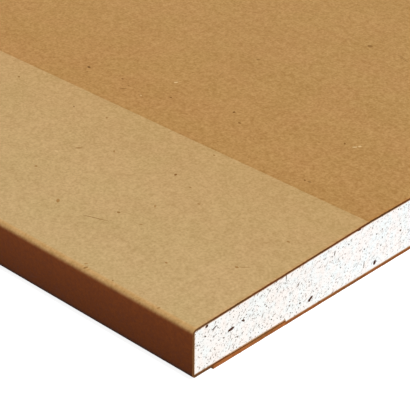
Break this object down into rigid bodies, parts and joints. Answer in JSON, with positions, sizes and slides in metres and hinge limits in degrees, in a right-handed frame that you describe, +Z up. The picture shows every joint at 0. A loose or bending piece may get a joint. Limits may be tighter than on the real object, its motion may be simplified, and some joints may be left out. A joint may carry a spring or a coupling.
{
  "type": "drywall sheet",
  "caption": "Tapered-edge gypsum drywall sheet: a white core between a kraft face paper wrapped round the long edges and a back paper glued over its flaps.",
  "frame": {"origin": "middle of the underside: the centre of the back paper's flat outer face, at the bottom of the sheet as it lies face up", "axes": "+X along the sheet between its sawn ends, +Y across it between its papered long edges, +Z up from the back paper to the face paper"},
  "size_m": [2.4384, 1.2192, 0.0127],
  "materials": {
    "gypsum": "matte",
    "face_kraft": "matte",
    "back_kraft": "matte"
  },
  "bodies": {
    "root": {"gypsum_core": "gypsum", "face_paper": "face_kraft", "back_paper": "back_kraft"}
  },
  "joints": []
}
